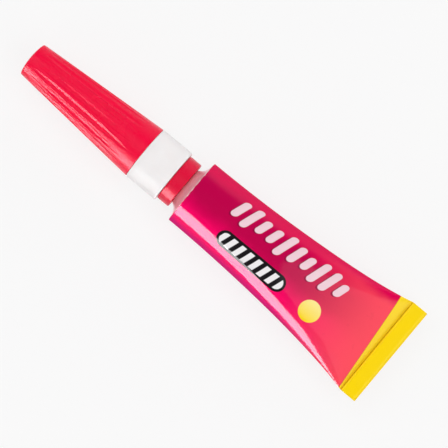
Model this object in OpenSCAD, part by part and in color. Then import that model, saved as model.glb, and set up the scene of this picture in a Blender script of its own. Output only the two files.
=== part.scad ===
// Super glue tube: a crimped aluminium tube, a spacer ring, a screw-on nozzle and a fluted cap.
// The tube lies on its side, with +X towards the cap and +Z up. Round pieces are drawn upright
// on the tube's axis, with their zero at the shoulder edge, and laid() puts them along +X.

/* [Tube] */
// Outer diameter of the tube at its shoulder
tube_d = 11; // [9:0.1:16]
// Length of the tube from its shoulder edge to the fold line
tube_l = 36.6; // [25:0.1:60]
// Thickness of the side wall
tube_wall = 0.12; // [0.08:0.01:0.2]
// Height of the shoulder cone
shoulder_h = 1.27; // [0.9:0.01:2.5]
// Thickness of the shoulder
shoulder_wall = 0.5; // [0.3:0.05:0.7]
// Width of the flat ledge around the neck, where the spacer ring sits
ledge_w = 0.35; // [0.25:0.05:0.6]
// Power of the flare towards the tail: more keeps the belly round for longer
flare_power = 1.9; // [1.5:0.1:3]
// Share of the flare that is left to the last stretch before the fold line
late_share = 0.17; // [0:0.01:0.4]
// Power of the tube's flanks: 1 makes the sections ellipses, and less makes the flanks flatter
flank_power = 0.5; // [0.4:0.05:1]
// Height of the adhesive's level above the tube's axis
fill_level = 1.4; // [-3:0.1:4]

/* [Neck] */
// Diameter over the neck's thread
neck_d = 5.4; // [4.6:0.1:5.8]
// Length of the neck above the shoulder
neck_l = 4.8; // [4:0.1:5.4]
// Wall of the neck under its thread
neck_wall = 0.6; // [0.4:0.05:0.9]
// Pitch of the neck's thread
neck_pitch = 1; // [0.8:0.05:1.2]
// Depth of the neck's thread
neck_thread_h = 0.4; // [0.3:0.05:0.45]
// Thickness of the membrane that closes the neck
membrane_t = 0.12; // [0.08:0.01:0.3]

/* [Folded tail] */
// Depth of the folded tail
fold_h = 2.8; // [2.2:0.1:6]
// Thickness of the sealing film between the two pressed walls
film_t = 0.08; // [0.05:0.01:0.15]
// Gap between the layers of the fold
layer_gap = 0.03; // [0.02:0.01:0.1]

/* [Spacer ring] */
// Wall of the ring around the neck's thread
ring_wall = 1.175; // [0.6:0.025:2]
// Height of the ring, which is the stroke that it keeps from the nozzle
ring_h = 2.2; // [1.8:0.1:3]

/* [Nozzle] */
// How far the collar stands proud of the cap's mouth
collar_proud = 0.035; // [0:0.005:0.5]
// Height of the collar
collar_h = 5.66; // [5.2:0.02:8]
// Length of the threaded stem above the collar
cap_thread_l = 4.5; // [4:0.1:6]
// Pitch of the cap's thread
cap_pitch = 1.5; // [1.2:0.05:1.7]
// Depth of the cap's thread
cap_thread_h = 0.4; // [0.3:0.05:0.45]
// Diameter of the spout at its foot
spout_d = 5; // [4.2:0.1:5.4]
// Length of the tapered spout
spout_l = 9.8; // [6:0.1:16]
// Wall of the spout at its foot
spout_wall = 0.9; // [0.6:0.05:1.2]
// Diameter of the straight tip
tip_d = 2.2; // [1.8:0.05:2.6]
// Length of the straight tip
tip_l = 4; // [2.5:0.1:6]
// Diameter of the orifice
orifice_d = 0.8; // [0.7:0.02:1]
// Diameter of the piercing spike at its root
spike_d = 2.4; // [1.8:0.1:2.6]

/* [Cap] */
// Outer diameter of the cap at its mouth
cap_base_d = 8.97; // [8.6:0.01:11]
// Wall of the cap around its thread, at its mouth
mouth_wall = 0.785; // [0.6:0.005:1]
// Outer diameter of the cap at its crown
cap_tip_d = 5.7; // [5.2:0.05:8]
// Height of the crown above the nozzle's tip
cap_crown = 4.31; // [3:0.01:8]
// Rise of the domed crown
cap_dome_h = 0.4; // [0.2:0.05:1]
// Wall of the cap around the spout
cap_wall = 0.9; // [0.7:0.05:1]
// Number of flutes
flute_n = 18; // [10:1:24]
// Width of a flute at its middle
flute_w = 1.1; // [0.6:0.05:1.2]
// Depth of a flute at its middle
flute_depth = 0.18; // [0.08:0.01:0.25]
// Plain band between the crown and the flutes
flute_from_crown = 1.2; // [0.5:0.1:3]
// Plain band between the mouth and the flutes
flute_from_mouth = 2.1; // [0.5:0.1:4]

/* [Cap pin] */
// Diameter of the pin that keeps the orifice open
pin_d = 0.6; // [0.4:0.02:0.64]
// Length of the pin inside the orifice
pin_reach = 3.2; // [1:0.1:3.6]
// Length of the pin held in the cap
pin_grip = 2.6; // [1.5:0.1:2.8]

/* [Fits] */
// Radial clearance in both screw threads
screw_clear = 0.1; // [0.08:0.01:0.15]
// Radial clearance of the spacer ring over the neck's thread
ring_clear = 0.15; // [0.1:0.01:0.2]
// Gap between pieces that sit on each other
seat_gap = 0.03; // [0.02:0.01:0.1]
// Radial clearance of the pin in the cap
pin_clear = 0.02; // [0.01:0.01:0.05]
// Clearance of the sealing film in its slot
film_clear = 0.01; // [0.005:0.005:0.02]
// Gap between the adhesive and the wall
liquid_gap = 0.05; // [0.03:0.01:0.1]

/* [Hidden] */
$fn = 96;

// One overrun serves every cut
overrun = 1;
// Small broken edges of the metal and of the moulded pieces
rim_edge = 0.12;
moulded_edge = 0.1;
crown_edge = 0.2;
// How far the shoulder's rim and the fold stand proud of the side wall that they hold
proud = 0.02;
// How far the shoulder's rim and the fold lap over the ends of the side wall
rim_lap = 0.3;
fold_lap = 0.05;
// Power of the last stretch of the flare
late_power = 8;
// Stop of the liquid before the fold line
liquid_stop = 0.6;
// Depth by which a thread's ridge is rooted in its core
thread_root = 0.1;
// Head room above the neck when the nozzle is screwed right down, and the spike's gap at rest
pierce_clear = 0.2;
spike_gap = 0.3;
spike_edge = 0.12;
// Boss in the cap that holds the pin
boss_gap = 0.4;
boss_h = 0.8;
boss_wall = 0.5;
// Shares of a thread's pitch: plain lead at each end, and the ridge's width at its root and crest
lead_share = 0.6;
root_share = 0.45;
crest_share = 0.2;
// Shapes of the meshes: sides and rings of the tube, rings crowded to its tail, steps of a thread's
// turn, sides of a flute, rings along the flutes and rings of the dome
loft_sides = 28;
loft_rings = 18;
crowd_power = 1.6;
turn_steps = 24;
flute_sides = 6;
flute_rings = 14;
dome_rings = 3;

// Tube
tube_r = tube_d / 2;
loft_r = tube_r - proud;
ribbon_t = 2 * tube_wall + film_t;
fold_w = PI * tube_d / 2;
tail_half_w = fold_w / 2 - proud;
tail_half_t = ribbon_t / 2 - proud;
rim_in_r = (loft_r - tube_wall) * cos(180 / loft_sides) - proud;
rim_l = shoulder_wall + rim_lap;

// Neck
neck_r = neck_d / 2;
neck_core_r = neck_r - neck_thread_h;
neck_bore_r = neck_core_r - neck_wall;
ledge_r = neck_r + ledge_w;
neck_z = shoulder_h + neck_l;
neck_lead = neck_pitch * lead_share;
neck_thread_z = shoulder_h + neck_lead;

// Folded tail: three layers, each a pressed wall with its film
layer = ribbon_t + layer_gap;
outer_bend_x = -fold_h + layer + ribbon_t / 2;
inner_bend_x = -(layer + ribbon_t) / 2;
film_w = 2 * (tail_half_w - tube_wall);

// Stack of ring, nozzle and cap on the neck
ring_z = shoulder_h + seat_gap;
collar_z = ring_z + ring_h + seat_gap;
deck_z = collar_z + collar_h;
stem_z = deck_z + cap_thread_l;
taper_z = stem_z + spout_l;
tip_z = taper_z + tip_l;
cap_z = deck_z + seat_gap;
crown_z = tip_z + cap_crown;

// Nozzle
nozzle_bore_r = neck_r + screw_clear;
nozzle_roof_z = neck_z + ring_h + pierce_clear;
spike_z = neck_z + spike_gap;
orifice_r = orifice_d / 2;
cap_base_r = cap_base_d / 2;
cap_bore_r = cap_base_r - mouth_wall;
collar_r = cap_base_r + collar_proud;
stem_r = cap_bore_r - screw_clear - cap_thread_h;
cap_lead = cap_pitch * lead_share;
stem_thread_z = deck_z + cap_lead;

// Cap
cap_tip_r = cap_tip_d / 2;
cone_z = crown_z - cap_dome_h;
cone_angle = atan((cap_base_r - cap_tip_r) / (cone_z - cap_z));
dome_r = (cap_tip_r * cap_tip_r + cap_dome_h * cap_dome_h) / (2 * cap_dome_h);
boss_z = tip_z + boss_gap;
roof_z = boss_z + boss_h;
pin_hole_r = pin_d / 2 + pin_clear;
pin_top_z = boss_z + pin_grip;
flute_z0 = cap_z + flute_from_mouth;
flute_z1 = cone_z - flute_from_crown;
cap_sides = flute_n * flute_sides;

// Middle of the whole length, which goes to the origin
mid_x = (crown_z - tube_l - fold_h) / 2;

// Share of the flare that is reached at a share t of the length from the shoulder
function flare(t) = (1 - late_share) * pow(t, flare_power) + late_share * pow(t, late_power);

// Half width and half height of the tube at a share t of its length from the shoulder
function half_width(t) = loft_r + (tail_half_w - loft_r) * flare(t);
function half_height(t) = loft_r + (tail_half_t - loft_r) * flare(t);

// One ring of the tube's surface, drawn in by inset: round ends and flanks that flatten to the tail.
// The points start half a step round, so that the tube lies on a flat side and not on an edge.
function ring_points(t, inset) =
    let (r = half_height(t), flat = half_width(t) - r)
    [for (k = [0 : loft_sides - 1])
        let (f = 360 * (k + 1 / 2) / loft_sides)
        [
            -t * tube_l,
            (r - inset) * cos(f) + flat * sign(cos(f)) * pow(abs(cos(f)), flank_power),
            (r - inset) * sin(f)
        ]];

// All rings from share t0 to share t1, crowded towards the tail
function loft_points(t0, t1, inset) =
    [for (i = [0 : loft_rings])
        each ring_points(t0 + (t1 - t0) * (1 - pow(1 - i / loft_rings, crowd_power)), inset)];

// Triangles of a loft's side, and the same triangles turned to face inwards
function loft_sides_faces() =
    [for (i = [0 : loft_rings - 1], k = [0 : loft_sides - 1])
        let (a = i * loft_sides + k, b = i * loft_sides + (k + 1) % loft_sides)
        each [[b, b + loft_sides, a + loft_sides], [b, a + loft_sides, a]]];
function turned_in(faces, shift) = [for (f = faces) [f[2] + shift, f[1] + shift, f[0] + shift]];

// Triangles that close a double wall at ring i, towards the shoulder or towards the tail
function wall_end_faces(i, shift, to_tail) =
    [for (k = [0 : loft_sides - 1])
        let (a = i * loft_sides + k, b = i * loft_sides + (k + 1) % loft_sides)
        each to_tail
            ? [[b, b + shift, a + shift], [b, a + shift, a]]
            : [[a, a + shift, b + shift], [a, b + shift, b]]];

// Helical ridge from radius r0, w0 wide there, to radius r1, w1 wide there: r0 is the smaller
module helix_ridge(r0, w0, r1, w1, z, pitch, turns) {
    steps = ceil(turns * turn_steps);
    outline = [[r0, -w0 / 2], [r0, w0 / 2], [r1, w1 / 2], [r1, -w1 / 2]];
    corners = len(outline);
    points = [for (i = [0 : steps], p = outline)
        let (f = 360 * turns * i / steps)
        [p[0] * cos(f), p[0] * sin(f), z + p[1] + pitch * turns * i / steps]];
    sides = [for (i = [0 : steps - 1], k = [0 : corners - 1])
        let (a = i * corners + k, b = i * corners + (k + 1) % corners)
        each [[a, a + corners, b + corners], [a, b + corners, b]]];
    start = [for (k = [0 : corners - 1]) k];
    end = [for (k = [corners - 1 : -1 : 0]) steps * corners + k];
    polyhedron(points, concat(sides, [start, end]), convexity = 6);
}

// Thread that stands out of a core of radius core
module outer_thread(core, h, z, pitch, turns) {
    helix_ridge(core - thread_root, pitch * root_share, core + h, pitch * crest_share, z, pitch, turns);
}

// Thread that stands into a bore of radius bore
module inner_thread(bore, h, z, pitch, turns) {
    helix_ridge(bore - h, pitch * crest_share, bore + thread_root, pitch * root_share, z, pitch, turns);
}

// Lays an upright piece along the tube's axis
module laid() {
    on_axis() rotate([0, 90, 0]) children();
}

// Puts a piece drawn along X on the tube's axis
module on_axis() {
    translate([-mid_x, 0, tube_r]) children();
}

// Side wall of the tube, round at the shoulder and flat at the tail
module side_wall() {
    outer = loft_points(0, 1, 0);
    inner = loft_points(0, 1, tube_wall);
    shift = len(outer);
    sides = loft_sides_faces();
    polyhedron(
        concat(outer, inner),
        concat(
            sides,
            turned_in(sides, shift),
            wall_end_faces(0, shift, false),
            wall_end_faces(loft_rings, shift, true)
        ),
        convexity = 8
    );
}

// Shoulder with its rim around the side wall, and the neck closed by its membrane
module shoulder_and_neck() {
    rotate_extrude() polygon([
        [tube_r, -rim_l],
        [tube_r, -rim_edge],
        [tube_r - rim_edge, 0],
        [ledge_r, shoulder_h],
        [neck_core_r, shoulder_h],
        [neck_core_r, neck_z - rim_edge],
        [neck_core_r - rim_edge, neck_z],
        [0, neck_z],
        [0, neck_z - membrane_t],
        [neck_bore_r, neck_z - membrane_t],
        [neck_bore_r, shoulder_h - shoulder_wall],
        [ledge_r, shoulder_h - shoulder_wall],
        [rim_in_r, -shoulder_wall],
        [rim_in_r, -rim_l]
    ]);
    outer_thread(neck_core_r, neck_thread_h, neck_thread_z, neck_pitch, (neck_l - 2 * neck_lead) / neck_pitch);
}

// Flat stretch of the folded ribbon, t thick, in the plane of the fold
module flat_layer(x0, x1, y, t) {
    translate([x0, y - t / 2]) square([x1 - x0, t]);
}

// Half turn of the folded ribbon about x, y: to the tail, or to the cap
module half_turn(x, y, r, t, to_tail) {
    reach = r + t;
    translate([x, y]) intersection() {
        difference() {
            circle(r + t / 2);
            circle(r - t / 2);
        }
        translate([to_tail ? -reach : 0, -reach]) square([reach, 2 * reach]);
    }
}

// Section of the fold: under layer, bend, upper layer, bend and the layer tucked in between
module fold_section(t) {
    flat_layer(outer_bend_x, fold_lap, 0, t);
    half_turn(outer_bend_x, layer, layer, t, true);
    flat_layer(outer_bend_x, inner_bend_x, 2 * layer, t);
    half_turn(inner_bend_x, 3 * layer / 2, layer / 2, t, false);
    flat_layer(outer_bend_x, inner_bend_x, layer, t);
}

// Sweeps a section of the fold across the tail
module across_tail(w) {
    translate([-tube_l, 0, 0]) rotate([90, 0, 0]) linear_extrude(height = w, center = true) children();
}

// Aluminium tube: side wall, shoulder, threaded neck and folded tail in one piece
module tube_shell() {
    color("deeppink") {
        on_axis() side_wall();
        laid() shoulder_and_neck();
    }
    color("gold") on_axis() difference() {
        across_tail(fold_w) fold_section(ribbon_t);
        across_tail(film_w) fold_section(film_t);
    }
}

// Sealing film pressed between the walls of the fold
module tail_seal() {
    color("wheat") on_axis() across_tail(film_w - 2 * film_clear) fold_section(film_t - 2 * film_clear);
}

// Adhesive in the tube and the neck, up to its level
module adhesive_fill() {
    inset = tube_wall + liquid_gap;
    front = rim_l + liquid_gap;
    points = loft_points(front / tube_l, 1 - liquid_stop / tube_l, inset);
    last = len(points) - loft_sides;
    roof = shoulder_h - shoulder_wall - liquid_gap;
    color("lightcyan") on_axis() intersection() {
        union() {
            polyhedron(
                points,
                concat(
                    loft_sides_faces(),
                    [[for (k = [loft_sides - 1 : -1 : 0]) k]],
                    [[for (k = [0 : loft_sides - 1]) last + k]]
                ),
                convexity = 4
            );
            rotate([0, 90, 0]) rotate_extrude() polygon([
                [0, -front - overrun],
                [rim_in_r - liquid_gap, -front - overrun],
                [rim_in_r - liquid_gap, -shoulder_wall - liquid_gap],
                [ledge_r, roof],
                [neck_bore_r - liquid_gap, roof],
                [neck_bore_r - liquid_gap, neck_z - membrane_t - liquid_gap],
                [0, neck_z - membrane_t - liquid_gap]
            ]);
        }
        translate([-tube_l, -fold_w, fill_level - fold_w]) cube([tube_l + neck_z, 2 * fold_w, fold_w]);
    }
}

// Spacer ring that keeps the nozzle off the membrane until it is taken off
module safety_ring() {
    bore = neck_r + ring_clear;
    outer = bore + ring_wall;
    top = ring_z + ring_h;
    color("crimson") laid() rotate_extrude() polygon([
        [bore, ring_z],
        [outer - moulded_edge, ring_z],
        [outer, ring_z + moulded_edge],
        [outer, top - moulded_edge],
        [outer - moulded_edge, top],
        [bore, top]
    ]);
}

// Nozzle: collar screwed on the neck, threaded stem for the cap, spout and piercing spike
module nozzle() {
    spout_r = spout_d / 2;
    tip_r = tip_d / 2;
    neck_turn = ceil((collar_z + neck_lead - neck_thread_z) / neck_pitch - 1 / 2) + 1 / 2;
    grip_z = neck_thread_z + neck_turn * neck_pitch;
    color("white") laid() {
        rotate_extrude() polygon([
            [orifice_r, spike_z],
            [orifice_r + spike_edge, spike_z],
            [spike_d / 2, nozzle_roof_z],
            [nozzle_bore_r, nozzle_roof_z],
            [nozzle_bore_r, collar_z],
            [collar_r - moulded_edge, collar_z],
            [collar_r, collar_z + moulded_edge],
            [collar_r, deck_z - moulded_edge],
            [collar_r - moulded_edge, deck_z],
            [stem_r, deck_z],
            [stem_r, stem_z],
            [spout_r, stem_z],
            [tip_r, taper_z],
            [tip_r, tip_z - moulded_edge],
            [tip_r - moulded_edge, tip_z],
            [orifice_r, tip_z],
            [orifice_r, taper_z],
            [spout_r - spout_wall, stem_z],
            [orifice_r, stem_z]
        ]);
        inner_thread(
            nozzle_bore_r, neck_thread_h, grip_z, neck_pitch,
            (nozzle_roof_z - neck_lead - grip_z) / neck_pitch
        );
        outer_thread(stem_r, cap_thread_h, stem_thread_z, cap_pitch, (cap_thread_l - 2 * cap_lead) / cap_pitch);
    }
}

// Steel pin in the cap that keeps the orifice open
module cap_pin() {
    color("silver") laid() translate([0, 0, tip_z - pin_reach])
        cylinder(d = pin_d, h = pin_top_z - tip_z + pin_reach);
}

// Radius of the cap's cone at height z
function cone_radius(z) = cap_base_r - (z - cap_z) * tan(cone_angle);

// Height of the dome at radius r
function dome_z(r) = crown_z - dome_r + sqrt(dome_r * dome_r - r * r);

// Depth of the flutes at height z and angle f: a hollow that runs out at both ends
function flute_cut(z, f) =
    let (
        along = (2 * z - flute_z0 - flute_z1) / (flute_z1 - flute_z0),
        left = 1 - along * along,
        pitch = 360 / flute_n,
        off = cone_radius(z) * (f - pitch * round(f / pitch)) * PI / 180
    )
    left <= 0 ? 0 : flute_depth * max(0, left - pow(2 * off / flute_w, 2));

// Radius and height of each ring of the cap's outside, from its mouth to its crown
function cap_rings() = concat(
    [[cap_base_r - moulded_edge, cap_z], [cone_radius(cap_z + moulded_edge), cap_z + moulded_edge]],
    [for (i = [0 : flute_rings])
        let (z = flute_z0 + (flute_z1 - flute_z0) * i / flute_rings)
        [cone_radius(z), z]],
    [[cone_radius(cone_z - crown_edge), cone_z - crown_edge]],
    [for (i = [0 : dome_rings - 1])
        let (r = (cap_tip_r - crown_edge) * (1 - i / dome_rings))
        [r, dome_z(r)]]
);

// Outside of the cap: a fluted cone with a domed crown
module cap_body() {
    rings = cap_rings();
    last = (len(rings) - 1) * cap_sides;
    apex = last + cap_sides;
    points = concat(
        [for (p = rings, k = [0 : cap_sides - 1])
            let (f = 360 * k / cap_sides, r = p[0] - flute_cut(p[1], f))
            [r * cos(f), r * sin(f), p[1]]],
        [[0, 0, crown_z]]
    );
    sides = [for (i = [0 : len(rings) - 2], k = [0 : cap_sides - 1])
        let (a = i * cap_sides + k, b = i * cap_sides + (k + 1) % cap_sides)
        each [[a, a + cap_sides, b + cap_sides], [a, b + cap_sides, b]]];
    mouth = [for (k = [0 : cap_sides - 1]) k];
    crown = [for (k = [0 : cap_sides - 1]) [last + k, apex, last + (k + 1) % cap_sides]];
    polyhedron(points, concat(sides, [mouth], crown), convexity = 6);
}

// Inside of the cap: threaded mouth, cone around the spout, pin boss and pin hole
module cap_cavity() {
    cavity_z = stem_z + seat_gap;
    rotate_extrude() {
        polygon([
            [0, cap_z - overrun],
            [cap_bore_r, cap_z - overrun],
            [cap_bore_r, cavity_z],
            [cone_radius(cavity_z) - cap_wall, cavity_z],
            [cone_radius(roof_z) - cap_wall, roof_z],
            [pin_hole_r + boss_wall, roof_z],
            [pin_hole_r + boss_wall, boss_z],
            [0, boss_z]
        ]);
        translate([0, boss_z - overrun]) square([pin_hole_r, pin_top_z - boss_z + overrun + seat_gap]);
    }
}

// Fluted cap with its inner thread
module cap() {
    grip_z = stem_thread_z + cap_pitch / 2;
    color("red") laid() {
        difference() {
            cap_body();
            cap_cavity();
        }
        inner_thread(cap_bore_r, cap_thread_h, grip_z, cap_pitch, (stem_z - cap_lead - grip_z) / cap_pitch);
    }
}

tube_shell();
tail_seal();
adhesive_fill();
safety_ring();
nozzle();
cap_pin();
cap();
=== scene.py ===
# Super glue tube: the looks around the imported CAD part. Sizes are in millimetres until a mesh is made.
import math

import bmesh
import bpy
import numpy as np
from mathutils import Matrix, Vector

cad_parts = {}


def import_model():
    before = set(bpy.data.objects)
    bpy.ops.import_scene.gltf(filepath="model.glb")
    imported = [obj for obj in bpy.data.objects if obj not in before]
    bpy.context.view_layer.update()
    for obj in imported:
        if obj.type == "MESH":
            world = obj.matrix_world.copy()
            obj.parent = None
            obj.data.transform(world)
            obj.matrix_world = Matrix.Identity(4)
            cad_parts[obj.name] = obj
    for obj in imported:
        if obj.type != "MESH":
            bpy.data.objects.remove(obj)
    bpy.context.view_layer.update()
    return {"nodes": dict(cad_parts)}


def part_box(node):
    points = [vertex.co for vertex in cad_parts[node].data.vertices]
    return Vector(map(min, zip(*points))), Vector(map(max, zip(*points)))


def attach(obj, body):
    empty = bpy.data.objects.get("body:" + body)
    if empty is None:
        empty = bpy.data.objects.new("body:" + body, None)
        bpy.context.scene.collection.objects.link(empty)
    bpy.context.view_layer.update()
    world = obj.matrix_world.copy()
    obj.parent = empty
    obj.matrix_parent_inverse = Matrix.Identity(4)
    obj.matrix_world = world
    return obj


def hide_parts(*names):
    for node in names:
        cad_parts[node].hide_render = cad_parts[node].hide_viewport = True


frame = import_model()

MM = 0.001


def box_mm(node):
    """Lowest and highest corner of a CAD node, in millimetres."""
    return [[c / MM for c in end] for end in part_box(node)]


# Places and radii from the frame: the tube's axis lies along X
shell_lo, shell_hi = box_mm("tube_shell")
ring_lo, ring_hi = box_mm("safety_ring")
nozzle_lo, nozzle_hi = box_mm("nozzle")
cap_lo, cap_hi = box_mm("cap")
pin_lo, pin_hi = box_mm("cap_pin")
AXIS_Z = (shell_lo[2] + shell_hi[2]) / 2
TUBE_R = (shell_hi[2] - shell_lo[2]) / 2
TAIL_X = shell_lo[0]
FOLD_W = shell_hi[1] - shell_lo[1]
NECK_X = shell_hi[0]
RING_R = ring_hi[1]
COLLAR_X = nozzle_lo[0]
COLLAR_R = nozzle_hi[1]
TIP_X = nozzle_hi[0]
CAP_X = cap_lo[0]
CAP_R = cap_hi[1]
CROWN_X = cap_hi[0]
PIN_X = pin_lo[0]
PIN_END_X = pin_hi[0]
PIN_R = pin_hi[1]

# Driving sizes that the boxes don't give, as in the part's source, apart from the deeper flutes
SEAT_GAP = 0.03
SHOULDER_H = 1.27
SHOULDER_WALL = 0.5
LEDGE_W = 0.35
TUBE_WALL = 0.12
FLARE_POWER = 1.9
LATE_SHARE = 0.17
LATE_POWER = 8
NECK_R = 2.7
NECK_THREAD_H = 0.4
NECK_PITCH = 1.0
NECK_WALL = 0.6
MEMBRANE_T = 0.12
FOLD_H = 2.8
FILM_T = 0.08
LAYER_GAP = 0.03
RING_CLEAR = 0.15
SCREW_CLEAR = 0.1
STEM_L = 4.5
STEM_R = 3.2
STEM_THREAD_H = 0.4
STEM_PITCH = 1.5
SPOUT_R = 2.5
SPOUT_WALL = 0.9
TIP_R = 1.1
TIP_L = 4.0
ORIFICE_R = 0.4
SPIKE_R = 1.2
SPIKE_GAP = 0.3
SPIKE_EDGE = 0.12
PIERCE_ROOM = 0.2
CAP_TIP_R = 2.85
CAP_DOME_H = 0.4
CAP_WALL = 0.9
MOUTH_WALL = 0.785
BOSS_GAP = 0.4
BOSS_H = 0.8
BOSS_WALL = 0.5
PIN_CLEAR = 0.02
FLUTE_N = 18
FLUTE_W = 1.1
FLUTE_DEPTH = 0.26
FLUTE_FROM_MOUTH = 2.1
FLUTE_FROM_CROWN = 1.2
LEAD_SHARE = 0.6
ROOT_SHARE = 0.45
CREST_SHARE = 0.2

# Stations along the axis
SHOULDER_X = ring_lo[0] - SEAT_GAP - SHOULDER_H
LEDGE_X = SHOULDER_X + SHOULDER_H
FOLD_X = TAIL_X + FOLD_H
TUBE_L = SHOULDER_X - FOLD_X
DECK_X = CAP_X - SEAT_GAP
STEM_X = DECK_X + STEM_L
TAPER_X = TIP_X - TIP_L
ROOF_X = NECK_X + (ring_hi[0] - ring_lo[0]) + PIERCE_ROOM
BOSS_X = TIP_X + BOSS_GAP
CONE_X = CROWN_X - CAP_DOME_H

# How finely meshes are divided, and from which angle an edge is sharp
ARC_STEPS = 5
LONG_STRETCH = 0.4
EDGE_SUPPORT = 0.05
THREAD_STEP = 0.05
THREAD_FADE = 0.12
FLUTE_STEP = 0.24
ROUND_SIDES = 128
PIN_SIDES = 48
SHARP_DEG = 38
FLUTE_SHARP_DEG = 75


# Turned shapes: an outline of x and r, rounded at its corners, swept round the axis
def corner(x, r, radius=0.0, step=None, tag=""):
    """One corner of a turned outline: its place and rounding, and the spacing and tag of what follows."""
    return (x, r, radius, step, tag)


def fillet(before, point, after, radius):
    """Points of the arc that rounds one corner of an outline."""
    p, a, b = (np.array(q, float) for q in (point, before, after))
    to_a, to_b = a - p, b - p
    len_a, len_b = np.linalg.norm(to_a), np.linalg.norm(to_b)
    to_a, to_b = to_a / len_a, to_b / len_b
    half = math.acos(max(-1.0, min(1.0, float(to_a @ to_b)))) / 2
    reach = min(radius / math.tan(half), len_a / 2, len_b / 2)
    r = reach * math.tan(half)
    middle = (to_a + to_b) / np.linalg.norm(to_a + to_b)
    centre = p + middle * (r / math.sin(half))
    start, end = p + to_a * reach - centre, p + to_b * reach - centre
    side = np.array([-start[1], start[0]])
    turn = math.atan2(start[0] * end[1] - start[1] * end[0], float(start @ end))
    return [centre + (start * math.cos(w) + side * math.sin(w)) for w in np.linspace(0, turn, ARC_STEPS + 1)]


def outline(corners, closed):
    """Rounds the corners and splits long stretches; gives x, r and tag of each point."""
    points = []
    n = len(corners)
    for i, (x, r, radius, step, tag) in enumerate(corners):
        ends = not closed and i in (0, n - 1)
        arc = [(x, r)]
        if radius and not ends:
            arc = fillet(corners[i - 1][:2], (x, r), corners[(i + 1) % n][:2], radius)
        points += [(p[0], p[1], "", None) for p in arc[:-1]]
        points.append((arc[-1][0], arc[-1][1], tag, step))
    out = []
    last = len(points) if closed else len(points) - 1
    for i in range(last):
        x0, r0, tag, step = points[i]
        x1, r1 = points[(i + 1) % len(points)][:2]
        length = math.hypot(x1 - x0, r1 - r0)
        shares = [0.0]
        if length > LONG_STRETCH:
            inner = max(1, math.ceil((length - 2 * EDGE_SUPPORT) / step)) if step else 1
            first = EDGE_SUPPORT / length
            shares += [first + (1 - 2 * first) * k / inner for k in range(inner + 1)]
        out += [(x0 + (x1 - x0) * s, r0 + (r1 - r0) * s, tag) for s in shares]
    if not closed:
        out.append((points[-1][0], points[-1][1], ""))
    return out


def look_outwards(mesh):
    """Turns the faces of a closed mesh outwards."""
    shape = bmesh.new()
    shape.from_mesh(mesh)
    inside_out = shape.calc_volume(signed=True) < 0
    shape.free()
    if inside_out:
        mesh.flip_normals()


def mesh_object(name, verts, faces, sharp_deg=SHARP_DEG):
    """A mesh in metres from millimetre points, smooth apart from its sharp edges."""
    mesh = bpy.data.meshes.new(name)
    mesh.from_pydata([tuple(float(c) * MM for c in v) for v in verts], [], faces)
    mesh.validate()
    look_outwards(mesh)
    mesh.shade_smooth()
    mesh.set_sharp_from_angle(angle=math.radians(sharp_deg))
    obj = bpy.data.objects.new(name, mesh)
    bpy.context.scene.collection.objects.link(obj)
    return obj


def skin(rows, closed):
    """Faces between neighbouring rings of points; a row of one point makes a fan."""
    faces = []
    for a, b in zip(rows, rows[1:] + rows[:1] if closed else rows[1:]):
        sides = max(len(a), len(b))
        for k in range(sides):
            j = (k + 1) % sides
            if len(a) == 1:
                faces.append((a[0], b[k], b[j]))
            elif len(b) == 1:
                faces.append((a[k], b[0], a[j]))
            else:
                faces.append((a[k], b[k], b[j], a[j]))
    return faces


def turned(name, corners, sides, relief=None, closed=False, spread=None, sharp_deg=SHARP_DEG):
    """Sweeps an outline round the axis; on a tagged stretch relief gives offsets and spread gives angles."""
    turn = np.arange(sides) * 2 * math.pi / sides
    verts, rows = [], []
    for x, r, tag in outline(corners, closed):
        if r == 0:
            rows.append([len(verts)])
            verts.append((x, 0, AXIS_Z))
            continue
        at = spread[tag](x, turn) if spread and tag in spread else turn
        radius = r + (relief[tag](x, at) if tag else np.zeros(sides))
        rows.append(list(range(len(verts), len(verts) + sides)))
        verts += list(zip(np.full(sides, x), radius * np.sin(at), AXIS_Z - radius * np.cos(at)))
    return mesh_object(name, verts, skin(rows, closed), sharp_deg)


def smooth_step(value):
    """0 below 0, 1 above 1 and a smooth rise between."""
    v = np.clip(value, 0, 1)
    return v * v * (3 - 2 * v)


def thread(start, pitch, height, turns):
    """Relief of a screw thread that starts at x, with run-outs at both ends."""
    root, crest = pitch * ROOT_SHARE / 2, pitch * CREST_SHARE / 2

    def relief(x, turn):
        share = turn / (2 * math.pi)
        along = (x - start) / pitch - share
        near = np.round(along)
        off = np.abs(along - near) * pitch
        at = near + share
        ends = smooth_step(at / THREAD_FADE) * smooth_step((turns - at) / THREAD_FADE)
        return height * smooth_step((root - off) / (root - crest)) * ends

    return relief


# The printed tube: round at the shoulder, flat at the tail
RINGS = 150
RINGS_POWER = 1.25
AROUND = 224
SECTION_POINTS = 2881
RIBBON_T = 2 * TUBE_WALL + FILM_T
RIM_ROUND = 0.16
RIM_DEG = (0, 30, 60)

# Unevenness of the wall: two waves, and a crease to each corner as its side, start share and depth share
WAVE_DEPTH = 0.03
WAVE_END_POWER = 6
WAVE_A_ROUND = 0.9
WAVE_A_ALONG = 4.1
WAVE_A_START = 0.6
WAVE_B_ROUND = 0.4
WAVE_B_ALONG = 9.0
CREASES = ((1, 0.62, 1.0), (-1, 0.7, 0.7))
CREASE_DEPTH = 0.035
CREASE_FROM = 2.2
CREASE_RUN = 5.4
CREASE_W = 0.9
CREASE_RISE = 3
CREASE_FADE = 9


def flare(t):
    """Share of the flare that is reached at a share t of the tube's length."""
    return (1 - LATE_SHARE) * t ** FLARE_POWER + LATE_SHARE * t ** LATE_POWER


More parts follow.
